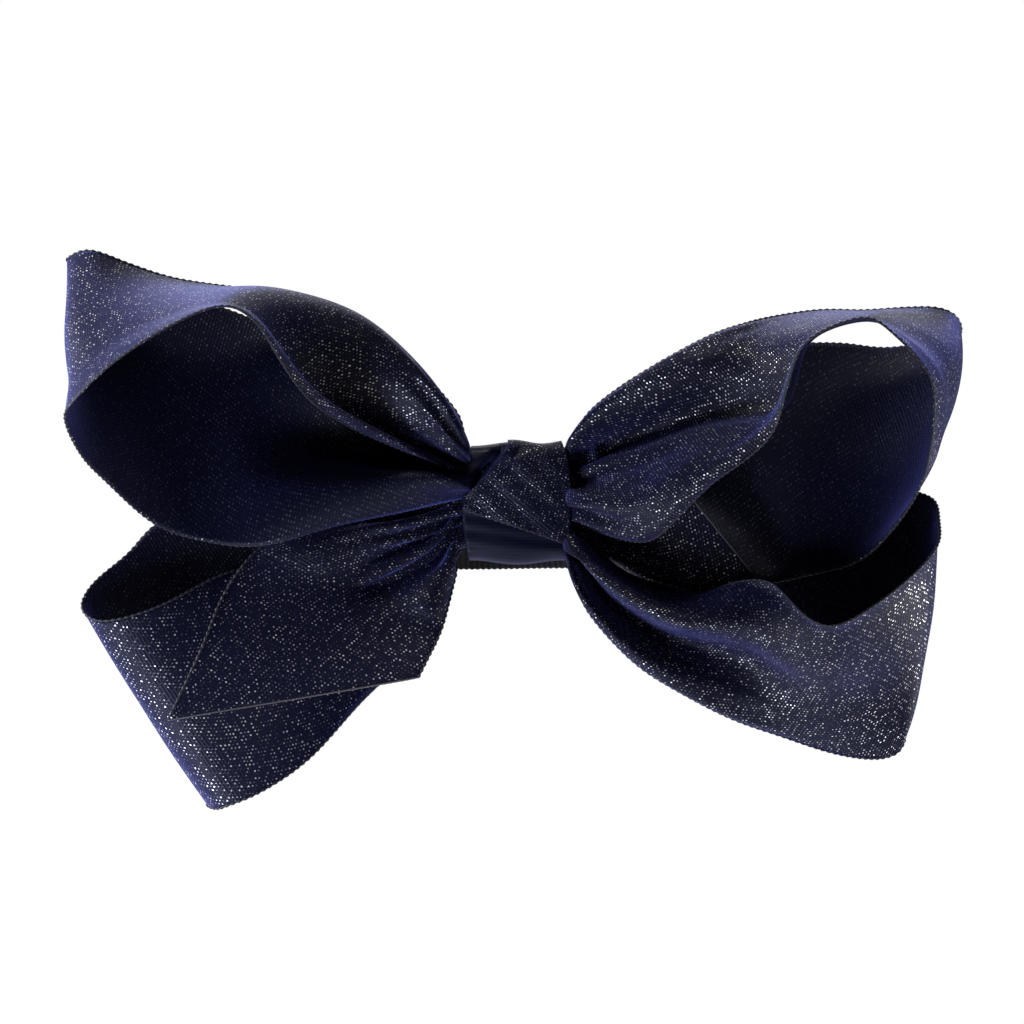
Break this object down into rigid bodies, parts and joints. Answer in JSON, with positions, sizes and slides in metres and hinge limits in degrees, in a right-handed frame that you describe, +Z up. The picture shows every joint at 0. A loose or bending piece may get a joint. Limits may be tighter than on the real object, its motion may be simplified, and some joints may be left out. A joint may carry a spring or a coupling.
{
  "type": "hair bow",
  "caption": "Large twisted ribbon hair bow with open loops, two tails and a gathered knot, carried on a sprung hair clip with a toothed jaw.",
  "frame": {"origin": "middle of the grip between the clip's jaws", "axes": "+Z up, -Y out of the bow's front, +X to the right as seen from the front; the clip's jaws run along X with the hinge towards +X"},
  "size_m": [0.1895, 0.075, 0.1186],
  "materials": {
    "navy_ribbon": "navy ribbed ribbon with silver flecks",
    "navy_thread": "dull binding thread",
    "clear_glue": "set hot-melt glue",
    "black_grosgrain": "matt ribbed ribbon",
    "nickel_steel": "nickel plated sheet",
    "spring_steel": "bright drawn wire"
  },
  "bodies": {
    "bow": {"upper_left_loop": "navy_ribbon", "upper_right_loop": "navy_ribbon", "lower_left_loop": "navy_ribbon", "lower_right_loop": "navy_ribbon", "left_tail": "navy_ribbon", "right_tail": "navy_ribbon", "knot_wrap": "navy_ribbon", "knot_fold": "navy_ribbon", "gather_thread": "navy_thread", "glue_pad": "clear_glue", "clip_lining": "black_grosgrain", "clip_fixed_jaw": "nickel_steel", "clip_pin": "spring_steel", "clip_spring": "spring_steel"},
    "moving_jaw": {"clip_moving_jaw": "nickel_steel"}
  },
  "joints": [
    {"name": "jaw_hinge", "type": "hinge", "parent": "bow", "child": "moving_jaw", "pos_m": [0.011, 0.001, 0], "axis": [0, 0, -1], "range_deg": [0, 30], "stiffness_Nm_per_rad": 0.12, "springref_deg": -28.65, "deforming": ["clip_spring"]}
  ]
}
